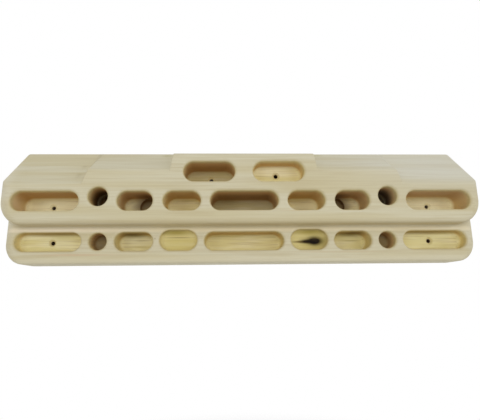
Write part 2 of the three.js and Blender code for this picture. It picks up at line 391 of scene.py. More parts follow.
def lower_pockets(sizes: BoardSizes) -> list[Pocket]:
    """The row of shallow pockets in the lower tier.

    Args:
        sizes: The blank's sizes.

    Returns:
        The middle pocket and the mirrored pairs.
    """
    tall = sizes.lower_pocket_height
    raised = 2.5 * MM
    # The last number of each kind is the painted shade of its inside.
    kinds = (
        Kind("centre", 96.9 * MM, tall, 27 * MM, 0.05),
        Kind("three_finger", 45 * MM, tall + raised, 9 * MM, 0.0, raised / 2),
        Kind("two_finger", 45.7 * MM, tall, 26 * MM, 0.05),
        Kind("mono", 20.8 * MM, 20.8 * MM, 28 * MM, 0.8),
        Kind("slot", 78.6 * MM, tall, 16 * MM, 0.05),
    )
    wall_shares = (0.177, 0.168, 0.187, 0.191)
    return Row(kinds, wall_shares, sizes.lower_row, sizes.tier_step).pockets(sizes.half_length)


def block_pockets(sizes: BoardSizes) -> list[Pocket]:
    """The two pockets of the raised block: the left one is deep and the right one shallow.

    Args:
        sizes: The blank's sizes.

    Returns:
        The left pocket and the right one.
    """
    offset = (sizes.block_pocket_gap + sizes.block_pocket_width) / 2
    size = (sizes.block_pocket_width, sizes.block_pocket_height)
    # Each pocket's last value is the painted shade of its inside.
    return [
        Pocket("block_left", *size, 42 * MM, offset, sizes.block_row, 0, pocket_shade=0.5, count=1),
        Pocket("block_right", *size, 23 * MM, -offset, sizes.block_row, 0, pocket_shade=0.2, count=1),
    ]


def linked(name: str, data: bpy.types.ID) -> Body:
    """Makes an object and links it to the scene.

    Args:
        name: Name of the object.
        data: Its mesh, light or camera.

    Returns:
        The object.
    """
    made = bpy.data.objects.new(name, data)
    bpy.context.scene.collection.objects.link(made)
    return made


def mesh_object(name: str, points: Sequence[Any], faces: Sequence[Sequence[int]]) -> Body:
    """Makes a mesh object at the origin and links it to the scene.

    Args:
        name: Name of the object and its mesh.
        points: Where its vertices are.
        faces: The vertices of each face, by number.

    Returns:
        The object.
    """
    mesh = bpy.data.meshes.new(name)
    mesh.from_pydata([tuple(point) for point in points], [], [tuple(face) for face in faces])
    mesh.validate()
    return linked(name, mesh)


def signed_volume(mesh: bpy.types.Mesh) -> float:
    """Works out the volume inside a closed mesh.

    Args:
        mesh: The mesh.

    Returns:
        Cubic metres, negative where its faces point in.
    """
    mesh.calc_loop_triangles()
    corners = np.empty(len(mesh.loop_triangles) * 3, np.int32)
    mesh.loop_triangles.foreach_get("vertices", corners)
    places = np.empty(len(mesh.vertices) * 3)
    mesh.vertices.foreach_get("co", places)
    a, b, c = np.moveaxis(places.reshape(-1, 3)[corners.reshape(-1, 3)], 1, 0)
    return float(np.einsum("ij,ij->i", a, np.cross(b, c)).sum() / 6)


def facing_out(made: Body) -> Body:
    """Turns a closed body's faces out, where they point in.

    Args:
        made: The body.

    Returns:
        The same body.
    """
    if signed_volume(made.data) < 0:
        made.data.flip_normals()
    return made


def loft(name: str, outlines: Sequence[Outline]) -> Body:
    """Joins matching closed outlines into one closed body.

    Args:
        name: Name of the new object.
        outlines: Arrays of points in space, as many in each.

    Returns:
        The body, with its faces pointing out.
    """
    count = len(outlines[0])
    faces: list[Iterable[int]] = []
    for section in range(len(outlines) - 1):
        for corner in range(count):
            here = section * count + corner
            beside = section * count + (corner + 1) % count
            faces.append((here, beside, beside + count, here + count))
    last = (len(outlines) - 1) * count
    faces.append(range(count - 1, -1, -1))
    faces.append(range(last, last + count))
    return facing_out(mesh_object(name, np.concatenate(outlines), faces))


def slab(name: str, low: Vector, high: Vector) -> Body:
    """Makes a box between two corners."""
    round_it = ((low.x, low.y), (high.x, low.y), (high.x, high.y), (low.x, high.y))
    return loft(name, [np.array([(x, y, z) for x, y in round_it]) for z in (low.z, high.z)])


def quarter_round(radius: float, steps: int) -> list[tuple[float, float]]:
    """Points of a quarter round: how far it is drawn in, which grows to the radius, and its depth."""
    angles = [math.pi / 2 * step / steps for step in range(steps + 1)]
    return [(radius * (1 - math.cos(angle)), radius * (1 - math.sin(angle))) for angle in angles]


def drawn_in(radius: float, depth: float) -> float:
    """How far a quarter round has drawn the wood in at a depth behind its face."""
    left = max(radius - depth, 0.0)
    return radius - math.sqrt(radius**2 - left**2)


def soft_step(x: float, start: float, length: float) -> float:
    """Rises smoothly from 0 to 1 over a length."""
    share = min(max((x - start) / length, 0.0), 1.0)
    return share * share * (3 - 2 * share)


def baked(made: Body) -> Body:
    """Turns an object's evaluated shape into a plain mesh object and removes the first one.

    Args:
        made: Object whose modifiers make the shape.

    Returns:
        The plain object, under the same name and linked to the scene.
    """
    name = made.name
    bpy.context.view_layer.update()
    evaluated = made.evaluated_get(bpy.context.evaluated_depsgraph_get())
    mesh = bpy.data.meshes.new_from_object(evaluated)
    bpy.data.objects.remove(made)
    mesh.name = name
    return linked(name, mesh)


def combine(body: Body, others: Iterable[Body], operation: str) -> Body:
    """Joins bodies, cuts some out of one, or keeps what they share.

    Args:
        body: The body that is changed.
        others: Bodies that are joined, cut out or intersected, one after another, and then removed.
        operation: UNION, DIFFERENCE or INTERSECT.

    Returns:
        The new body.
    """
    operands = list(others)
    for operand in operands:
        step = body.modifiers.new(operand.name, "BOOLEAN")
        step.operation = operation
        step.solver = "MANIFOLD"
        step.object = operand
    made = baked(body)
    for operand in operands:
        bpy.data.objects.remove(operand)
    return made


@dataclass
class Blank:
    """The wood before its pockets are cut: two tiers under sloping tops."""

    sizes: BoardSizes
    fine: Smoothness
    sloper_boundary: float

    def _tier_outline(
        self, bottom: float, radius: float, end_inset: float, edge_inset: float, depth: float
    ) -> Outline:
        """Front view of a tier with rounded lower corners, at a depth behind the front.

        Args:
            bottom: Height of the tier's lower edge.
            radius: Radius of its lower corners.
            end_inset: How far the ends are drawn in, or let out where it is negative.
            edge_inset: The same for the lower edge.
            depth: How far behind the front face it stands.

        Returns:
            The outline's points in space.
        """
        sizes = self.sizes
        side = min(sizes.half_length, sizes.half_length - end_inset)
        angles = np.linspace(0, math.pi / 2, self.fine.corner + 1)
        x = np.minimum(sizes.half_length - radius + (radius - end_inset) * np.sin(angles), side)
        z = bottom + radius - (radius - edge_inset) * np.cos(angles)
        x = np.append(x, side)
        z = np.append(z, sizes.height + OVERRUN)
        x = np.concatenate([x, -x[::-1]])
        z = np.concatenate([z, z[::-1]])
        return np.column_stack([x, np.full(len(x), sizes.y(depth)), sizes.z(z)])

    def _rounded_front(self, face: float) -> list[tuple[float, float, float]]:
        """Rounds a tier's front edge.

        Args:
            face: Depth of the tier's front face.

        Returns:
            Insets of its ends and of its lower edge, and the depth of each.
        """
        sizes = self.sizes
        end = quarter_round(sizes.end_radius, self.fine.end_round)
        return [(across, drawn_in(sizes.edge_radius, along), face + along) for across, along in end]

    def upper_tier(self) -> Body:
        """The upper tier, from the back to the rounded front edge, with the cove under it.

        Returns:
            The tier.
        """
        sizes = self.sizes
        cove = quarter_round(sizes.cove_radius, self.fine.quarter_round)
        walls = [(0.0, 0.0, sizes.depth), (0.0, 0.0, sizes.tier_step)]
        walls += [(-across, -across, sizes.tier_step - along) for across, along in cove[::-1]]
        walls += self._rounded_front(0.0)
        lower_edge = (sizes.soffit, sizes.upper_corner_radius)
        return loft("upper_tier", [self._tier_outline(*lower_edge, *wall) for wall in walls])

    def lower_tier(self) -> Body:
        """The lower tier, set back, with its own rounded front edge.

        Returns:
            The tier.
        """
        sizes = self.sizes
        walls = [(0.0, 0.0, sizes.depth), *self._rounded_front(sizes.tier_step)]
        lower_edge = (0.0, sizes.lower_corner_radius)
        return loft("lower_tier", [self._tier_outline(*lower_edge, *wall) for wall in walls])

    def _front_edge(self, x: float) -> float:
        """Works out the sloping top's front edge, which falls in soft steps from the block to the ends.

        Args:
            x: Distance from the middle of the board.

        Returns:
            Height of the edge there.
        """
        sizes = self.sizes
        angles = (sizes.block_angle, sizes.inner_sloper_angle, sizes.outer_sloper_angle)
        block, inner, outer = [sizes.height - sizes.rise(angle) for angle in angles]
        off_block = soft_step(x, sizes.block_half_width, sizes.block_blend)
        off_inner = soft_step(x, self.sloper_boundary - sizes.sloper_blend / 2, sizes.sloper_blend)
        return block + (inner - block) * off_block + (outer - inner) * off_inner

    def _side_outline(self, x: float, drop: float, setback: float) -> Outline:
        """Side view of all the wood below the sloping top, at one place along the board.

        Args:
            x: Where the outline stands.
            drop: How far the top is lowered there, square to the slope.
            setback: How far the front face is moved in there.

        Returns:
            The outline's points in space.
        """
        sizes = self.sizes
        front_edge = self._front_edge(abs(x))
        slope = math.atan2(sizes.height - front_edge, sizes.depth)
        back_edge = front_edge - drop / math.cos(slope) + sizes.depth * math.tan(slope)
        edge = back_edge - (sizes.depth - setback) * math.tan(slope)
        turn = math.pi / 2 - slope
        tangent = sizes.edge_radius * math.tan(turn / 2)
        far = sizes.depth + OVERRUN
        angles = np.linspace(turn, 0, self.fine.quarter_round + 1)
        rounding = setback + sizes.edge_radius * (1 - np.cos(angles))
        depth = [-OVERRUN, far, far, sizes.depth, *rounding, -OVERRUN]
        rounded = edge - tangent + sizes.edge_radius * np.sin(angles)
        height = [-OVERRUN, -OVERRUN, back_edge, back_edge, *rounded, edge - tangent]
        places = np.column_stack([np.full(len(depth), x), depth, height])
        return places - np.array([0, sizes.depth, sizes.height / 2])

    def below_the_tops(self) -> Body:
        """Everything under the sloping tops, with the slopers' ends rounded over.

        Returns:
            A body that runs past the board everywhere else.
        """
        sizes = self.sizes
        blends = (
            (sizes.block_half_width, sizes.block_blend),
            (self.sloper_boundary - sizes.sloper_blend / 2, sizes.sloper_blend),
        )
        stations = [
            (float(x), 0.0, 0.0)
            for start, length in blends
            for x in np.linspace(start, start + length, self.fine.blend + 1)
        ]
        end = quarter_round(sizes.end_radius, self.fine.end_round)
        for across, along in end:
            stations.append((sizes.half_length - along, drawn_in(sizes.edge_radius, along), across))
        stations.append((sizes.half_length + OVERRUN, sizes.edge_radius, sizes.end_radius))
        stations = [(-x, drop, setback) for x, drop, setback in stations[::-1]] + stations
        return loft("below_the_tops", [self._side_outline(*station) for station in stations])

    def body(self) -> Body:
        """The finished blank."""
        tiers = combine(self.upper_tier(), [self.lower_tier()], "UNION")
        return combine(tiers, [self.below_the_tops()], "INTERSECT")


class CutterTree:
    """Geometry Nodes that make one kind of cutter and set it out in mirrored pairs.

    A cutter is made of rings from its deep end to its front. Each ring is a round-ended outline, and the
    profile says for each how far the outline is let out and at what depth it stands. The profile is a line
    through a few corners, some of which are rounded.
    """

    COMMON = ("Radius", "Reach", "Offset", "Lift")
    MERGE_DISTANCE = 0.005 * MM

    def __init__(self, name: str, profile: Sequence[Corner], half_round: int, corner_steps: int) -> None:
        """Builds the tree.

        Args:
            name: Name of the tree.
            profile: Corners of the cutter's wall, whose names become inputs of the tree.
            half_round: Steps in each half round of the outline.
            corner_steps: Steps in each rounded corner of the profile.
        """
        self.tree = bpy.data.node_groups.new(name, "GeometryNodeTree")
        face = self.tree.interface
        own = dict.fromkeys(name for corner in profile for name in corner if name)
        for size in (*self.COMMON, *own):
            face.new_socket(size, in_out="INPUT", socket_type="NodeSocketFloat")
        face.new_socket("Count", in_out="INPUT", socket_type="NodeSocketInt")
        face.new_socket("Material", in_out="INPUT", socket_type="NodeSocketMaterial")
        face.new_socket("Geometry", in_out="OUTPUT", socket_type="NodeSocketGeometry")
        self.sizes = add(self.tree, "NodeGroupInput")
        curve = self._profile_curve(profile, corner_steps)
        self._set_out(self._rings(curve, half_round))

    def _profile_curve(self, profile: Sequence[Corner], corner_steps: int) -> Socket:
        """Draws the profile as a curve, x let out and y deep, with its corners rounded.

        Args:
            profile: The corners.
            corner_steps: Steps in each rounded one.

        Returns:
            The curve.
        """
        tree = self.tree
        sizes = self.sizes
        index = add(tree, "GeometryNodeInputIndex")[0]
        places, radii = [
            add(tree, "GeometryNodeIndexSwitch", data_type=kind)[0].node for kind in ("VECTOR", "FLOAT")
        ]
        for switch in (places, radii):
            while len(switch.index_switch_items) < len(profile):
                switch.index_switch_items.new()
            tree.links.new(index, switch.inputs[0])
        for number, (out, depth, radius) in enumerate(profile, start=1):
            place = (sizes[out] if out else 0.0, sizes[depth])
            tree.links.new(add(tree, "ShaderNodeCombineXYZ", place)[0], places.inputs[number])
            if radius:
                tree.links.new(sizes[radius], radii.inputs[number])
        line = add(tree, "GeometryNodeMeshLine", {"Count": len(profile)})[0]
        bent = add(tree, "GeometryNodeSetPosition", {"Geometry": line, "Position": places.outputs[0]})[0]
        curve = add(tree, "GeometryNodeMeshToCurve", {"Mesh": bent})[0]
        rounding = {"Curve": curve, "Count": corner_steps, "Radius": radii.outputs[0]}
        return add(tree, "GeometryNodeFilletCurve", rounding, mode="POLY")[0]

    def _rings(self, profile: Socket, half_round: int) -> Socket:
        """Bends a plain tube so that its rings follow the profile.

        The tube's corners are numbered ring by ring. In each ring the first half of them goes round the right
        end of the outline from below, and the other half round the left end from above.

        Args:
            profile: The profile's curve.
            half_round: Steps in each half round of the outline.

        Returns:
            The closed cutter.
        """
        tree = self.tree
        sizes = self.sizes
        around = 2 * (half_round + 1)
        points = add(tree, "GeometryNodeAttributeDomainSize", (profile,), component="CURVE")["Point Count"]
        rings = add(tree, MATH, (points, 1), operation="SUBTRACT")[0]
        tube = add(tree, "GeometryNodeMeshCylinder", {"Vertices": around, "Side Segments": rings})[0]
        index = add(tree, "GeometryNodeInputIndex")[0]
        turns = add(tree, MATH, (index, around), operation="DIVIDE")[0]
        ring = add(tree, MATH, (turns,), operation="FLOOR")[0]
        passed = add(tree, MATH, (ring, around), operation="MULTIPLY")[0]
        corner = add(tree, MATH, (index, passed), operation="SUBTRACT")[0]
        on_left = add(tree, MATH, (corner, half_round + 0.5), operation="GREATER_THAN")[0]
        step = add(tree, MATH, (corner, on_left), operation="SUBTRACT")[0]
        angle = add(tree, MATH, (step, math.pi / half_round, -math.pi / 2), operation="MULTIPLY_ADD")[0]
        side = add(tree, MATH, (on_left, -2, 1), operation="MULTIPLY_ADD")[0]
        end = add(tree, MATH, (side, sizes["Reach"]), operation="MULTIPLY")[0]
        sample = {"Geometry": profile, "Value": add(tree, "GeometryNodeInputPosition")[0], "Index": ring}
        wall = add(tree, "GeometryNodeSampleIndex", sample, data_type="FLOAT_VECTOR", domain="POINT")[0]
        out, depth, _ = add(tree, "ShaderNodeSeparateXYZ", (wall,))
        radius = add(tree, MATH, (sizes["Radius"], out), operation="ADD")[0]
        cosine, sine = [add(tree, MATH, (angle,), operation=operation)[0] for operation in ("COSINE", "SINE")]
        across = add(tree, MATH, (radius, cosine, end), operation="MULTIPLY_ADD")[0]
        up = add(tree, MATH, (radius, sine), operation="MULTIPLY")[0]
        place = add(tree, "ShaderNodeCombineXYZ", (across, depth, up))[0]
        bent = add(tree, "GeometryNodeSetPosition", {"Geometry": tube, "Position": place})[0]
        merging = {"Geometry": bent, "Distance": self.MERGE_DISTANCE}
        return add(tree, "GeometryNodeMergeByDistance", merging)[0]

    def _set_out(self, cutter: Socket) -> None:
        """Puts one cutter at each side of the middle and gives it its material.

        Args:
            cutter: One cutter, round the origin.
        """
        tree = self.tree
        sizes = self.sizes
        left = add(tree, MATH, (sizes["Offset"], -1), operation="MULTIPLY")[0]
        start = add(tree, "ShaderNodeCombineXYZ", {0: left, 2: sizes["Lift"]})[0]
        apart = add(tree, MATH, (sizes["Offset"], 2), operation="MULTIPLY")[0]
        step = add(tree, "ShaderNodeCombineXYZ", (apart,))[0]
        pair = {"Count": sizes["Count"], "Start Location": start, "Offset": step}
        middles = add(tree, "GeometryNodeMeshLine", pair)[0]
        copies = add(tree, "GeometryNodeInstanceOnPoints", {"Points": middles, "Instance": cutter})[0]
        real = add(tree, "GeometryNodeRealizeInstances", (copies,))[0]
        dressed = add(tree, "GeometryNodeSetMaterial", {"Geometry": real, "Material": sizes["Material"]})[0]
        add(tree, "NodeGroupOutput", (dressed,))

    def cutter(self, name: str, values: dict[str, Any]) -> Body:
        """Runs the tree once.

        Args:
            name: Name of the new object.
            values: A value for each named input.

        Returns:
            The cutter, or the pair, as a plain mesh with its faces pointing out.
        """
        holder = mesh_object(name, [], [])
        modifier = holder.modifiers.new(name, "NODES")
        modifier.node_group = self.tree
        for item in self.tree.interface.items_tree:
            if item.in_out == "INPUT" and item.name in values:
                modifier[item.identifier] = values[item.name]
        return facing_out(baked(holder))


@dataclass
class Carving:
    """The pockets, inner bores and screw holes that are cut into the blank.

    A cutter's floor begins further in than its rounding reaches, by the floor inside share of its radius.
    """

    # How close to a face a point counts as lying on it.
    TOUCHING: ClassVar[float] = 0.05 * MM

    sizes: BoardSizes
    fine: Smoothness
    finish: Material
    inner_bore_diameter: float = 21.6 * MM
    inner_bore_depth: float = 50 * MM
    # Painted shade inside the inner bores.
    inner_bore_shade: float = 0.85
    screw_hole_diameter: float = 5 * MM
    countersink_diameter: float = 9.5 * MM
    countersink_angle: float = 45
    upper_screw_offset: float = 6 * MM
    block_screw_offset: float = 1 * MM
    floor_inside_share: float = 1.2
    upper: list[Pocket] = field(init=False)
    lower: list[Pocket] = field(init=False)
    block: list[Pocket] = field(init=False)

    def __post_init__(self) -> None:
        """Sets out the three rows."""
        self.upper = upper_pockets(self.sizes)
        self.lower = lower_pockets(self.sizes)
        self.block = block_pockets(self.sizes)

    @staticmethod
    def _named(row: Sequence[Pocket], name: str) -> Pocket:
        """The pocket of a row with a name."""
        return next(pocket for pocket in row if pocket.name == name)

    @property
    def sloper_boundary(self) -> float:
        """The outer sloper begins over the middle of the wall between the upper mono and the upper slot.

        Returns:
            Distance of that place from the middle.
        """
        mono = self._named(self.upper, "mono")
        slot = self._named(self.upper, "slot")
        return (mono.offset + mono.width / 2 + slot.offset - slot.width / 2) / 2

    def inner_bores(self) -> Pocket:
        """The pair of deeper bores at the inner ends of the upper two-finger pockets.

        Returns:
            The pair.
        """
        pocket = self._named(self.upper, "two_finger")
        across = self.inner_bore_diameter
        middle = pocket.offset - pocket.reach
        place = (self.inner_bore_depth, middle, pocket.lift, pocket.face)
        return Pocket("inner_bore", across, across, *place, self.inner_bore_shade)

    def screws(self) -> list[Pocket]:
        """The screw holes: two in the end slots of each row and two in the block's pockets.

        Returns:
            The mirrored pairs and the single holes.
        """
        upper = self._named(self.upper, "slot")
        lower = self._named(self.lower, "slot")
        across = self.screw_hole_diameter
        places = [
            (upper, upper.offset + self.upper_screw_offset),
            (lower, lower.offset),
            (self.block[0], self.block[0].offset - self.block_screw_offset),
            (self.block[1], self.block[1].offset + self.block_screw_offset),
        ]
        made = []
        for pocket, x in places:
            place = (pocket.depth, x, pocket.lift, pocket.face)
            made.append(Pocket(f"{pocket.name}_screw", across, across, *place, count=pocket.count))
        return made

    def _values(self, pocket: Pocket, depths: dict[str, float]) -> dict[str, Any]:
        """The inputs that every cutter has, and the depths of one kind in the shared frame.

        Args:
            pocket: What is cut.
            depths: Depths behind the front, by input name.

        Returns:
            A value for each input.
        """
        sizes = self.sizes
        values: dict[str, Any] = {name: sizes.y(depth) for name, depth in depths.items()}
        values |= {"Radius": pocket.height / 2, "Reach": pocket.reach, "Offset": pocket.offset}
        values |= {"Lift": sizes.z(pocket.lift), "Count": pocket.count, "Material": self.finish}
        return values

    def cutters(self) -> list[Body]:
        """Makes a cutter for each kind of pocket, bore and hole.

        Returns:
            The cutters.
        """
        sizes = self.sizes
        fine = self.fine
        rounding = {"Rim radius": sizes.rim_radius, "Floor radius": sizes.floor_radius}
        rounding["Inside"] = -self.floor_inside_share * sizes.floor_radius
        pocket_tree = CutterTree("pocket_cutter", POCKET_PROFILE, fine.half_round, fine.quarter_round)
        bore_tree = CutterTree("bore_cutter", BORE_PROFILE, fine.half_round, fine.quarter_round)
        made = []
        for row, pockets in (("upper", self.upper), ("lower", self.lower), ("top", self.block)):
            for pocket in pockets:
                face = pocket.face
                depths = {"Face": face, "Floor": face + pocket.depth, "Front end": face - OVERRUN}
                values = self._values(pocket, depths)
                made.append(pocket_tree.cutter(f"{row}_{pocket.name}_cutter", values | rounding))
        bores = self.inner_bores()
        opening = self._named(self.upper, "two_finger").depth - sizes.rim_radius - sizes.floor_radius
        values = self._values(bores, {"Floor": bores.depth, "Front end": opening})
        made.append(bore_tree.cutter("inner_bore_cutter", values | rounding))
        return made + self._screw_cutters()

    def _screw_cutters(self) -> list[Body]:
        """Makes the cutters of the countersunk holes.

        Returns:
            The cutters, without rounded corners.
        """
        fine = self.fine
        tree = CutterTree("screw_hole_cutter", SCREW_HOLE_PROFILE, fine.hole_half_round, fine.quarter_round)
        overhang = (self.countersink_diameter - self.screw_hole_diameter) / 2
        cone = overhang / math.tan(math.radians(self.countersink_angle))
        made = []
        for hole in self.screws():
            floor = hole.face + hole.depth
            depths = {
                "Back end": self.sizes.depth + OVERRUN,
                "Cone start": floor + cone,
                "Floor": floor,
                "Front end": floor - self.countersink_diameter,
            }
            values = self._values(hole, depths)
            made.append(tree.cutter(f"{hole.name}_cutter", values | {"Overhang": overhang}))
        return made

    def marks(self, places: np.ndarray) -> dict[str, np.ndarray]:
        """What the cutters have left at each place.

        Args:
            places: Points in the shared frame, one row each.

        Returns:
            For each point how deep in a pocket it lies, how much painted shade that pocket gets, and how far
            down a screw hole it lies.
        """
        sizes = self.sizes
        near = self.TOUCHING
        marks = {name: np.zeros(len(places)) for name in ("pocket_depth", "pocket_shade", "hole_depth")}
        for pocket in [*self.upper, *self.lower, *self.block, self.inner_bores()]:
            behind = places[:, 1] - sizes.y(pocket.face)
            inside = self._within(places, pocket, pocket.height / 2 + sizes.rim_radius + near)
            inside &= (behind > near) & (behind < pocket.depth + near)
            marks["pocket_depth"][inside] = behind[inside]
            marks["pocket_shade"][inside] = pocket.pocket_shade
        for hole in self.screws():
            below = places[:, 1] - sizes.y(hole.face + hole.depth)
            inside = self._within(places, hole, self.countersink_diameter / 2 + near) & (below > near)
            marks["hole_depth"][inside] = below[inside]
        return marks

    def _within(self, places: np.ndarray, pocket: Pocket, radius: float) -> np.ndarray:
        """Finds the places within a radius of a pocket's middle line, whatever their depth.

        Args:
            places: Points in the shared frame, one row each.
            pocket: The pocket, or the pair.
            radius: How far they may lie from the line.

        Returns:
            True for each of these.
        """
        inside = np.zeros(len(places), bool)
        for middle in pocket.middles():
            across = np.maximum(np.abs(places[:, 0] - middle) - pocket.reach, 0)
            inside |= np.hypot(across, places[:, 2] - self.sizes.z(pocket.lift)) < radius
        return inside


@dataclass(frozen=True)
class Ramp:
    """How something comes in over a value, such as a trace in the wood or the floor's fading.

    Attributes:
        start: Value at which it begins to show.
        full: Value at which it shows in full, above or below the start.
        share: How far it then covers what is under it.
    """

    start: float
    full: float
    share: float = 1.0

    def over(self, tree: Tree, value: Socket) -> Socket:
        """How far the trace covers at a value, which rises smoothly from the start on."""
        limits = {"Value": value, "From Min": self.start, "From Max": self.full, "To Max": self.share}
        return add(tree, MAP_RANGE, limits, interpolation_type="SMOOTHSTEP")[0]


@dataclass(frozen=True)
class Figure:
    """A pattern in the wood that is drawn out along the grain.

    Attributes:
        length: Size of a patch along the board.
        width: Size of a patch across it.
        detail: How many finer octaves it holds.
        ramp: How it shows over its noise, which lies around 0.5.
    """

    length: float
    width: float
    detail: float
    ramp: Ramp = Ramp(0, 1)


@dataclass(frozen=True)
class Stain:
    """A soft mark in the wood's colour, drawn where the photograph shows one: a stain in the wood, painted
    shade or painted light.

    Attributes:
        middle: Where the mark is, in the shared frame.
        size: Half of its extent along x, y and z.
        colour: What the wood's colour turns to in its middle.
        strength: How much it does so. Above 1 the full colour spreads from the middle.
    """

    middle: tuple[float, float, float]
    size: tuple[float, float, float]
    colour: str
    strength: float


@dataclass(frozen=True)
class Tulipwood:
    """Tulipwood (yellow poplar), planed and routed, then sanded and left without a film of lacquer.

    The sapwood is a pale cream with a fine, even, almost closed grain, so the faces look flat and matt, with
    weak growth rings, slow clouds of colour and a few darker streaks that run along the staves. The pockets'
    walls are warmer than the sanded faces. Painted shade browns them pocket by pocket, darkens the ceilings
    that face down, and darkens the deep pockets further with depth. Their floors show the yellower wood
    further in, with its grain. Its fibres are less than 0.1 mm wide. That is too fine to show in the render,
    so fibres and grain lines are drawn as bundles a little over 1 mm wide.
    """

    name: str
    stains: tuple[Stain, ...] = ()

    # The sanded faces, and the end grain, by how far the surface faces along the board.
    sapwood: str = "#d7cfb1"
    cloud: str = "#d1c6a1"
    ring_line: str = "#c3b48c"
    end_grain: str = "#dad0ab"
    clouds: Figure = Figure(260 * MM, 22 * MM, 2, Ramp(0.42, 0.62))
    streaks: Figure = Figure(85 * MM, 5 * MM, 3, Ramp(0.48, 0.7, 0.35))
    fibres: Figure = Figure(60 * MM, 1.3 * MM, 3, Ramp(0.5, 0.72, 0.4))
    faces_end: Ramp = Ramp(0.5, 1, 0.6)

    # Growth rings round the pith, which runs along the board at this y and z.
    pith: tuple[float, float] = (-90 * MM, 160 * MM)
    ring_spacing: float = 4.4 * MM
    ring_sharpness: float = 3
    ring_share: float = 0.22
    ring_bend: float = 9 * MM
    ring_bends: Figure = Figure(120 * MM, 25 * MM, 2)

    # Rims and walls of the pockets, by depth, with painted shade: a pocket shade below the shaded wall share
    # only browns the wall.
    rim: str = "#d2bf80"
    rims: Ramp = Ramp(0, 3 * MM, 0.75)
    wall: str = "#e4d496"
    walls: Ramp = Ramp(2 * MM, 13 * MM)
    # Painted shade that browns a pocket's walls.
    shaded_wall: str = "#dfc088"
    shaded_wall_share: float = 0.35
    # Painted shade on the ceilings, which face down.
    painted_ceiling_shade: str = "#a46321"
    faces_down: Ramp = Ramp(-0.2, -0.9, 0.42)
    # Painted shade that deepens towards the back of the deeper pockets.
    deep_pocket_shade: str = "#775935"
    deep_shading: Ramp = Ramp(8 * MM, 30 * MM)

    # Floors of the pockets, by how far the surface faces the front.
    floor: str = "#efe6b8"
    floor_heart: str = "#e5daa0"
    grain_line: str = "#a98f5c"
    floor_patches: Figure = Figure(70 * MM, 9 * MM, 2, Ramp(0.4, 0.6))
    floor_lines: Figure = Figure(55 * MM, 1.1 * MM, 2, Ramp(0.52, 0.7, 0.33))
    faces_front: Ramp = Ramp(-0.2, -0.95)

    # Screw holes, painted dark by depth as shade, and not on the back face, which their edges share.
    painted_hole_shade: str = "#5a3a14"
    hole_shading: Ramp = Ramp(1.8 * MM, 4 * MM)
    faces_back: Ramp = Ramp(0.9, 0.5)

    # The surface.
    roughness: float = 0.6
    roughness_spread: float = 0.06
    gloss: float = 0.1
    ior: float = 1.45
    bump: float = 0.25
    fibre_height: float = 0.05 * MM

    # Which wood it is: how far its figures are shifted, and along which way.
    seed: float = 0.0
    seed_steps: tuple[float, float, float] = (1, 0.7, 1.3)

    def material(self) -> Material:
        """Builds the material.

        Returns:
            The material.
        """
        made = bpy.data.materials.new(self.name)
        tree = bare_tree(made)
        place = add(tree, "ShaderNodeTexCoord")["Object"]
        colour = self._layered(
            tree,
            self.sapwood,
            (self.cloud, self._shown(tree, place, self.clouds)),
            (self.ring_line, self._rings(tree, place)),
            (self.ring_line, self._shown(tree, place, self.streaks)),
            (self.ring_line, self._shown(tree, place, self.fibres)),
        )
        colour, on_floor = self._machined(tree, colour, place)
        colour = self._stained(tree, colour, place)
        lines = self._shown(tree, place, self.floor_lines)
        lines = add(tree, MATH, (lines, on_floor), operation="MULTIPLY")[0]
        colour = self._layered(tree, colour, (self.grain_line, lines))
        fibre = self._noise(tree, place, self.fibres)
        relief = {"Strength": self.bump, "Distance": self.fibre_height, "Height": fibre}
        smooth, rough = self.roughness - self.roughness_spread, self.roughness + self.roughness_spread
        surface = {
            "Base Color": colour,
            "Roughness": add(tree, MAP_RANGE, {"Value": fibre, "To Min": smooth, "To Max": rough})[0],
            "Normal": add(tree, "ShaderNodeBump", relief)[0],
            "IOR": self.ior,
            "Specular IOR Level": self.gloss,
        }
        shader = add(tree, "ShaderNodeBsdfPrincipled", surface)[0]
        add(tree, "ShaderNodeOutputMaterial", {"Surface": shader})
        return made

    def _noise(self, tree: Tree, place: Socket, figure: Figure) -> Socket:
        """The noise that a figure is drawn from, stretched along the board.

        Args:
            tree: The material's tree.
            place: Where each point is.
            figure: The figure.

        Returns:
            Its value, from 0 to 1.
        """
        scale = (1 / figure.length, 1 / figure.width, 1 / figure.width)
        shift = tuple(self.seed * step for step in self.seed_steps)
        mapped = add(tree, "ShaderNodeMapping", {"Vector": place, "Location": shift, "Scale": scale})[0]
        return add(tree, "ShaderNodeTexNoise", {"Vector": mapped, "Scale": 1, "Detail": figure.detail})[0]

    def _shown(self, tree: Tree, place: Socket, figure: Figure) -> Socket:
        """How far a figure shows at each place."""
        return figure.ramp.over(tree, self._noise(tree, place, figure))

    def _rings(self, tree: Tree, place: Socket) -> Socket:
        """Draws the growth rings, which run along the board, bent by slow noise, and darken outwards.

        Args:
            tree: The material's tree.
            place: Where each point is.

        Returns:
            How far they show.
        """
        distance = distance_from(tree, place, (0, *self.pith), (0, 1, 1))
        bend = self._noise(tree, place, self.ring_bends)
        bent = add(tree, MATH, (bend, self.ring_bend, distance), operation="MULTIPLY_ADD")[0]
        turns = add(tree, MATH, (bent, self.ring_spacing), operation="DIVIDE")[0]
        share = add(tree, MATH, (turns,), operation="FRACT")[0]
        sharpened = add(tree, MATH, (share, self.ring_sharpness), operation="POWER")[0]
        return add(tree, MATH, (sharpened, self.ring_share), operation="MULTIPLY")[0]

    @staticmethod
    def _layered(tree: Tree, colour: str | Socket, *coats: tuple[str | Socket, Socket]) -> Socket:
        """Lays coats of colour over one another.

        Args:
            tree: The material's tree.
            colour: The lowest colour, as hex digits or a socket.
            coats: The colour of each coat, and how far it covers what is under it.

        Returns:
            The colour that is seen.
        """
        # Inputs 6 and 7 and output 2 of this node are the ones for colours.
        for coat, share in coats:
            under, over = [srgb(each) if isinstance(each, str) else each for each in (colour, coat)]
            colour = add(tree, "ShaderNodeMix", {0: share, 6: under, 7: over}, data_type="RGBA")[2]
        return colour

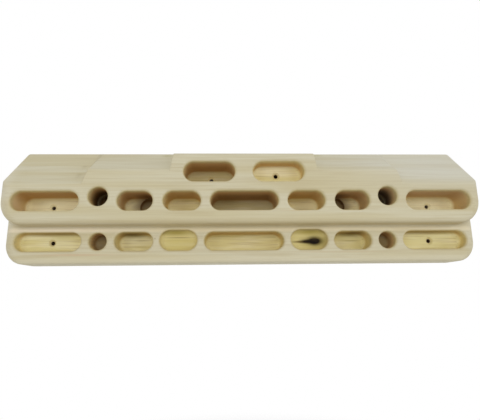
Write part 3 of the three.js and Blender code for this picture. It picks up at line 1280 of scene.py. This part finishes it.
    def _stained(self, tree: Tree, colour: Socket, place: Socket) -> Socket:
        """Lays the stains over the wood's colour.

        Args:
            tree: The material's tree.
            colour: The wood's colour.
            place: Where each point is.

        Returns:
            The stained colour.
        """
        for stain in self.stains:
            away = distance_from(tree, place, stain.middle, [1 / extent for extent in stain.size])
            shown = Ramp(1, 0, stain.strength).over(tree, away)
            colour = self._layered(tree, colour, (stain.colour, shown))
        return colour

    def _machined(self, tree: Tree, colour: Socket, place: Socket) -> tuple[Socket, Socket]:
        """Colours the end grain, the pockets' rims, walls and floors, and paints shade into the pockets and
        screw holes.

        Args:
            tree: The material's tree.
            colour: The sanded wood.
            place: Where each point is.

        Returns:
            The wood with the pockets' colours and painted shade, and how far each point belongs to a pocket's
            floor.
        """
        names = ("pocket_depth", "pocket_shade", "hole_depth")
        depth, pocket_shade, hole = [add(tree, "ShaderNodeAttribute", attribute_name=name)["Fac"] for name in names]
        spaces = {"convert_from": "WORLD", "convert_to": "OBJECT", "vector_type": "NORMAL"}
        normal = add(tree, "ShaderNodeNewGeometry")["Normal"]
        normal = add(tree, "ShaderNodeVectorTransform", (normal,), **spaces)[0]
        along, back, up = add(tree, "ShaderNodeSeparateXYZ", (normal,))
        sideways = add(tree, MATH, (along,), operation="ABSOLUTE")[0]
        facing = self.faces_front.over(tree, back)
        # Painted shade: each pocket's shade browns its walls, and above the shaded wall share darkens them
        # with depth.
        shaded_wall = add(tree, MAP_RANGE, {"Value": pocket_shade, "From Max": self.shaded_wall_share})[0]
        deep_shade = add(tree, MAP_RANGE, {"Value": pocket_shade, "From Min": self.shaded_wall_share})[0]
        deep_shade = add(tree, MATH, (deep_shade, self.deep_shading.over(tree, depth)), operation="MULTIPLY")[0]
        patches = self._shown(tree, place, self.floor_patches)
        cut = self._layered(
            tree,
            self.wall,
            (self.shaded_wall, shaded_wall),
            # Painted shade on the ceilings that face down.
            (self.painted_ceiling_shade, self.faces_down.over(tree, up)),
            (self._layered(tree, self.floor, (self.floor_heart, patches)), facing),
            (self.deep_pocket_shade, deep_shade),
        )
        inside = self.walls.over(tree, depth)
        off_back = self.faces_back.over(tree, back)
        # Painted shade down the screw holes.
        painted_hole_shade = add(tree, MATH, (self.hole_shading.over(tree, hole), off_back), operation="MULTIPLY")[0]
        colour = self._layered(
            tree,
            colour,
            (self.end_grain, self.faces_end.over(tree, sideways)),
            (self.rim, self.rims.over(tree, depth)),
            (cut, inside),
            (self.painted_hole_shade, painted_hole_shade),
        )
        return colour, add(tree, MATH, (inside, facing), operation="MULTIPLY")[0]


@dataclass(frozen=True)
class Stave:
    """One stave of the laminated blank.

    Attributes:
        node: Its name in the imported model.
        layer: The layer that it lies in.
        low: Its lowest corner in the shared frame.
        high: Its highest corner.
    """

    node: str
    layer: Layer
    low: Vector
    high: Vector


@dataclass
class Board:
    """The laminated and machined board."""

    sizes: BoardSizes
    fine: Smoothness
    finishes: dict[Layer, Material]
    sharp_angle: float = 32
    face_weight: int = 100
    carving: Carving = field(init=False)

    def __post_init__(self) -> None:
        """Sets out the pockets."""
        self.carving = Carving(self.sizes, self.fine, self.finishes[Layer.FRONT])

    def staves(self) -> list[Stave]:
        """Works out where each stave lies, between the glue faces and the edge joints.

        Returns:
            The staves, layer by layer from the front and from the bottom up.
        """
        sizes = self.sizes
        lower = sizes.lower_row
        upper = sizes.upper_row + sizes.upper_mono_rise / 2
        top = sizes.block_row
        off = sizes.joint_stagger
        core_back = sizes.front_thickness + sizes.core_thickness
        layers = (
            (Layer.FRONT, 0, sizes.front_thickness, (upper, top)),
            (Layer.CORE, sizes.front_thickness, core_back, (lower - off, upper + off, top + off)),
            (Layer.BACK, core_back, sizes.depth, (lower, upper - off, top - off)),
        )
        names = ("bottom", "middle", "upper", "top")
        made = []
        for layer, front, back, joints in layers:
            edges = (-OVERRUN, *joints, sizes.height + OVERRUN)
            for name, low, high in zip(names[-len(joints) - 1 :], edges, edges[1:]):
                low_corner = Vector((-sizes.length, sizes.y(front), sizes.z(low)))
                high_corner = Vector((sizes.length, sizes.y(back), sizes.z(high)))
                made.append(Stave(f"{layer.name.lower()}_{name}_stave", layer, low_corner, high_corner))
        return made

    def build(self) -> list[Body]:
        """Machines the blank, divides it at the glue joints and dresses each stave.

        Returns:
            The staves, each riding on the part's body and standing for its node.
        """
        blank = Blank(self.sizes, self.fine, self.carving.sloper_boundary).body()
        LOG.info("blank lofted: %d faces", len(blank.data.polygons))
        machined = combine(blank, self.carving.cutters(), "DIFFERENCE")
        LOG.info("pockets and holes cut: %d faces", len(machined.data.polygons))
        pieces = [self._piece(machined, stave) for stave in self.staves()]
        bpy.data.objects.remove(machined)
        return pieces

    def _piece(self, machined: Body, stave: Stave) -> Body:
        """Args:
            machined: The whole board in one body.
            stave: Which stave is taken.

        Returns:
            The stave's object.
        """
        piece = linked(f"{stave.node}_finished", machined.data.copy())
        piece = combine(piece, [slab(f"{stave.node}_slab", stave.low, stave.high)], "INTERSECT")
        mesh = piece.data
        mesh.materials.clear()
        mesh.materials.append(self.finishes[stave.layer])
        mesh.polygons.foreach_set("material_index", np.zeros(len(mesh.polygons), np.int32))
        self._mark(mesh)
        mesh.shade_smooth()
        mesh.set_sharp_from_angle(angle=math.radians(self.sharp_angle))
        weighting = piece.modifiers.new("even_faces", "WEIGHTED_NORMAL")
        weighting.keep_sharp = True
        weighting.weight = self.face_weight
        piece = baked(piece)
        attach(piece, "root")
        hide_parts(stave.node)
        LOG.info("%s: %d faces", piece.name, len(piece.data.polygons))
        return piece

    def _mark(self, mesh: bpy.types.Mesh) -> None:
        """Stores on each vertex what the cutters have left there.

        Args:
            mesh: A stave's mesh.
        """
        places = np.empty(len(mesh.vertices) * 3)
        mesh.vertices.foreach_get("co", places)
        for name, values in self.carving.marks(places.reshape(-1, 3)).items():
            mark = mesh.attributes.new(name, "FLOAT", "POINT")
            mark.data.foreach_set("value", values.astype(np.float32))


@dataclass(frozen=True)
class Lamp:
    """A square soft box.

    Attributes:
        name: What it does.
        azimuth: Degrees from straight in front, towards the right.
        elevation: Degrees above the board.
        power: Watts.
        colour: Of its light.
    """

    name: str
    azimuth: float
    elevation: float
    power: float
    colour: str = "#ffffff"


@dataclass(frozen=True)
class FloorPaint:
    """Matt white paint, which takes the board's shadow without a gleam and fades out towards the edge."""

    edge: float
    fade: float = 0.5
    colour: str = "#f4f3f0"
    roughness: float = 0.8

    def material(self) -> Material:
        """Builds the material.

        Returns:
            The material.
        """
        made = bpy.data.materials.new("matt_white_floor_paint")
        tree = bare_tree(made)
        place = add(tree, "ShaderNodeTexCoord")["Object"]
        away = distance_from(tree, place, (0, 0, 0), (1, 1, 0))
        faded = Ramp(self.edge - self.fade, self.edge).over(tree, away)
        surface = {"Base Color": srgb(self.colour), "Roughness": self.roughness}
        paint = add(tree, "ShaderNodeBsdfPrincipled", surface)[0]
        clear = add(tree, "ShaderNodeBsdfTransparent")[0]
        both = add(tree, "ShaderNodeMixShader", (faded, paint, clear))[0]
        add(tree, "ShaderNodeOutputMaterial", {"Surface": both})
        return made


@dataclass
class Studio:
    """Pale floor, soft lamps and a white surround.

    Attributes:
        lamps: The soft boxes.
        aim: Where they all point.
        distance: From there to each of them.
        soft_box_side: Length of a soft box's side.
        surround: Strength of the surround as a light, while it is seen at 1.
        floor_drop: How far the floor lies below the board's middle.
        floor_radius: Radius of the floor.
        floor_corners: Corners of its outline.
    """

    lamps: tuple[Lamp, ...] = (
        Lamp("front_soft_box", 0, 8, 4.6),
        Lamp("left_soft_box", -35, 0, 2.1),
        Lamp("right_soft_box", 35, 5, 1.6),
        Lamp("side_soft_box", 65, 10, 3.5, "#d5e2ff"),
        Lamp("overhead_soft_box", 0, 80, 3.7, "#cfe0ff"),
    )
    aim: tuple[float, float, float] = (0, -0.03, 0)
    distance: float = 1.6
    soft_box_side: float = 0.35
    surround: float = 0.5
    floor_drop: float = 0.5
    floor_radius: float = 0.95
    floor_corners: int = 96

    def build(self) -> None:
        """Makes the world, the lamps and the floor."""
        self._world()
        for lamp in self.lamps:
            self._lamp(lamp)
        self._floor()

    def _world(self) -> None:
        """A surround that lights softly and is seen, and reflected, as white."""
        world = bpy.data.worlds.new("white_surround")
        bpy.context.scene.world = world
        tree = bare_tree(world)
        rays = add(tree, "ShaderNodeLightPath")
        seen = rays["Is Camera Ray"]
        for ray in ("Is Glossy Ray", "Is Transmission Ray"):
            seen = add(tree, MATH, (seen, rays[ray]), operation="MAXIMUM")[0]
        strength = add(tree, MAP_RANGE, {"Value": seen, "To Min": self.surround, "To Max": 1})[0]
        light = {"Color": srgb("#ffffff"), "Strength": strength}
        add(tree, "ShaderNodeOutputWorld", {"Surface": add(tree, "ShaderNodeBackground", light)[0]})

    def _lamp(self, lamp: Lamp) -> None:
        """Hangs one soft box and turns it to the board.

        Args:
            lamp: The soft box.
        """
        light = bpy.data.lights.new(lamp.name, "AREA")
        light.shape = "SQUARE"
        light.size = self.soft_box_side
        light.energy = lamp.power
        light.color = srgb(lamp.colour)[:3]
        made = linked(lamp.name, light)
        azimuth = math.radians(lamp.azimuth)
        elevation = math.radians(lamp.elevation)
        level = math.cos(elevation)
        towards = Vector((math.sin(azimuth) * level, -math.cos(azimuth) * level, math.sin(elevation)))
        made.location = Vector(self.aim) + towards * self.distance
        made.rotation_euler = towards.to_track_quat("Z", "Y").to_euler()

    def _floor(self) -> None:
        """A round pale floor below the board, whose edge fades into the surround."""
        angles = np.linspace(0, 2 * math.pi, self.floor_corners, endpoint=False)
        ring = np.column_stack([np.cos(angles), np.sin(angles), np.zeros(len(angles))]) * self.floor_radius
        floor = mesh_object("floor", ring - (0, 0, self.floor_drop), [range(len(ring))])
        floor.data.materials.append(FloorPaint(edge=self.floor_radius).material())


@dataclass
class Viewpoint:
    """The photograph's camera, below the board's middle and looking a little up.

    Attributes:
        sizes: The blank's sizes.
        focal_pixels: Focal length in pixels of the photograph.
        image_width: Width of the photograph in pixels.
        distance: From the camera to its aim.
        yaw: Degrees that it is turned to the right.
        pitch: Degrees that it is tilted up.
        roll: Degrees that its right side is turned up.
        aim_x: Where it aims on the front face.
        aim_height: Height of that place above the bottom edge.
        sensor: Width of its sensor in millimetres.
    """

    sizes: BoardSizes
    focal_pixels: float = 396.2
    image_width: int = 480
    distance: float = 467.24 * MM
    yaw: float = 1.96
    pitch: float = 12.04
    roll: float = -0.64
    aim_x: float = -5.56 * MM
    aim_height: float = 59.68 * MM
    sensor: float = 36

    def build(self) -> Body:
        """Makes the camera and looks through it.

        Returns:
            The camera's object.
        """
        yaw, pitch, roll = [math.radians(angle) for angle in (self.yaw, self.pitch, self.roll)]
        level_right = Vector((math.cos(yaw), -math.sin(yaw), 0))
        forward = Vector((math.cos(pitch) * math.sin(yaw), math.cos(pitch) * math.cos(yaw), math.sin(pitch)))
        level_up = level_right.cross(forward)
        right = level_right * math.cos(roll) + level_up * math.sin(roll)
        up = level_up * math.cos(roll) - level_right * math.sin(roll)
        aim = Vector((self.aim_x, self.sizes.y(0), self.sizes.z(self.aim_height)))
        camera = bpy.data.cameras.new("camera")
        camera.sensor_width = self.sensor
        camera.lens = self.sensor * self.focal_pixels / self.image_width
        made = linked("camera", camera)
        turned = Matrix((right, up, -forward)).transposed().to_4x4()
        made.matrix_world = Matrix.Translation(aim - forward * self.distance) @ turned
        bpy.context.scene.camera = made
        return made


def mark(middle: Sequence[float], size: Sequence[float], colour: str, strength: float) -> Stain:
    """A stain whose middle and half extents are given in millimetres."""
    middle, size = [tuple(number * MM for number in numbers) for numbers in (middle, size)]
    return Stain(middle, size, colour, strength)


def tulipwoods() -> dict[Layer, Material]:
    """The wood of each layer: front and core share their figure, and the back is cut from another plank.

    The stains give each part of the board the tone and the marks that it has in the photograph; several of
    them are painted shade or painted light. One that reaches through a glue face stands in both layers.

    Returns:
        The material of each layer.
    """
    # Painted shade under the upper tier, the paler ends, painted light on the lower edge, and painted shade
    # in the two one-finger holes.
    underside = mark((0, -46, -30), (1500, 20, 9), "#bfa97a", 0.5)
    right_end = mark((250, -30, 50), (210, 110, 75), "#dcdbd2", 0.4)
    lower_edge = mark((0, -30, -76), (1500, 60, 11), "#ece4c8", 0.5)
    left_end = mark((-292, -35, -5), (26, 70, 85), "#f1ecdc", 0.55)
    mono_shade = (
        mark((-173, -10, 2), (18, 26, 18), "#20170c", 0.6),
        mark((173, -18, 2), (20, 36, 20), "#20170c", 0.85),
    )
    # Painted shade on the ceilings of the lower pockets: three fingers, two fingers and the end slots.
    ceilings = [
        mark((side * middle, behind, -37.5), (*reach, 5.5), colour, strength)
        for side in (-1, 1)
        for middle, behind, reach, colour, strength in (
            (84, -29, (34, 9), "#776833", 0.95),
            (139, -17, (30, 21), "#6e5e33", 0.85),
            (228, -24, (70, 13), "#94804f", 0.75),
        )
    ]
    front = (
        underside,
        right_end,
        left_end,
        *mono_shade,
        # Painted shade at the edge of the left outer sloper, and two tan streaks in the lip.
        mark((-202, -38, 38), (6, 22, 22), "#b3a680", 0.45),
        mark((58, -55, -16), (26, 6, 1.6), "#c9ad74", 0.5),
        mark((20, -58, -14), (60, 6, 1.4), "#cdb98c", 0.4),
    )
    core = (
        underside,
        right_end,
        lower_edge,
        left_end,
        *mono_shade,
        *ceilings,
        # Painted light on the shelf above the lower pockets, strongest at the left.
        mark((0, -36, -35.2), (1500, 5, 4.6), "#f3e4c2", 0.5),
        mark((-230, -36, -34.6), (130, 6, 4.6), "#fff0dc", 0.4),
        # Yellow floors of the lower three-finger pockets, and painted light on the floor of the block's right
        # pocket.
        *(mark((side * 84, -27.5, -46), (70, 5, 45), "#c9b762", 0.55) for side in (-1, 1)),
        mark((41, -35, 53), (50, 6, 26), "#f8f0d8", 0.8),
        # Knot in the right three-finger pocket, from the wood round it and its tail to its black middle.
        mark((90, -27.5, -49), (26, 9, 12), "#8f7f42", 0.9),
        mark((70, -27.5, -49.6), (17, 5, 2.4), "#65501f", 0.85),
        mark((79, -27.5, -49.2), (15, 5, 4.2), "#2b1f0d", 1.3),
        mark((87.5, -27.5, -48.6), (13.5, 6, 7.8), "#140c04", 1.6),
        # Olive line in the left one, a pin knot, two streaks along the bottom edge, and painted shade at the
        # sloper's edge.
        mark((-80, -27.5, -43.5), (24, 4, 1), "#8d7a45", 0.8),
        mark((-108, -36.5, -45.6), (1.6, 2, 1.6), "#8f8a55", 0.5),
        mark((-200, -36.5, -64.7), (70, 8, 2.2), "#cfae88", 0.5),
        mark((120, -36.5, -63), (110, 8, 1.8), "#c9b48c", 0.4),
        mark((-202, -22, 52), (6, 16, 16), "#b3a680", 0.45),
    )
    back = (
        right_end,
        lower_edge,
        left_end,
        *mono_shade,
        *ceilings,
        # Painted light on the floors of the upper end slots.
        *(mark((side * 228, -17, 2), (120, 8, 60), "#fdf8d2", 0.85) for side in (-1, 1)),
        # Lines in the floors of the lower two-finger pockets, and two darker places at the top edge.
        mark((138, -10.5, -46.5), (17, 4, 1.2), "#8e7a45", 0.5),
        mark((-130, -10.5, -44.8), (17, 4, 1.6), "#8e7a45", 0.4),
        mark((98, -8, 72), (16, 12, 6), "#c2b87e", 0.6),
        mark((-100, -8, 70), (12, 14, 8), "#b9ae7c", 0.6),
    )
    return {
        Layer.FRONT: Tulipwood("tulipwood_front", front).material(),
        Layer.CORE: Tulipwood("tulipwood_core", core).material(),
        Layer.BACK: Tulipwood("tulipwood_back", back, pith=(-120 * MM, -140 * MM), seed=7.1).material(),
    }


def main() -> None:
    """Builds the camera, the board and the studio in order."""
    logging.basicConfig(level=logging.INFO, format="%(name)s: %(message)s")
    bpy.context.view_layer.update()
    sizes = BoardSizes()
    camera = Viewpoint(sizes).build()
    LOG.info("camera at %s", [round(number, 4) for number in camera.matrix_world.translation])
    board = Board(sizes, Smoothness(), tulipwoods())
    pieces = board.build()
    LOG.info("%d staves", len(pieces))
    Studio().build()
    bpy.context.scene.view_settings.view_transform = "Standard"


if __name__ == "__main__":
    main()
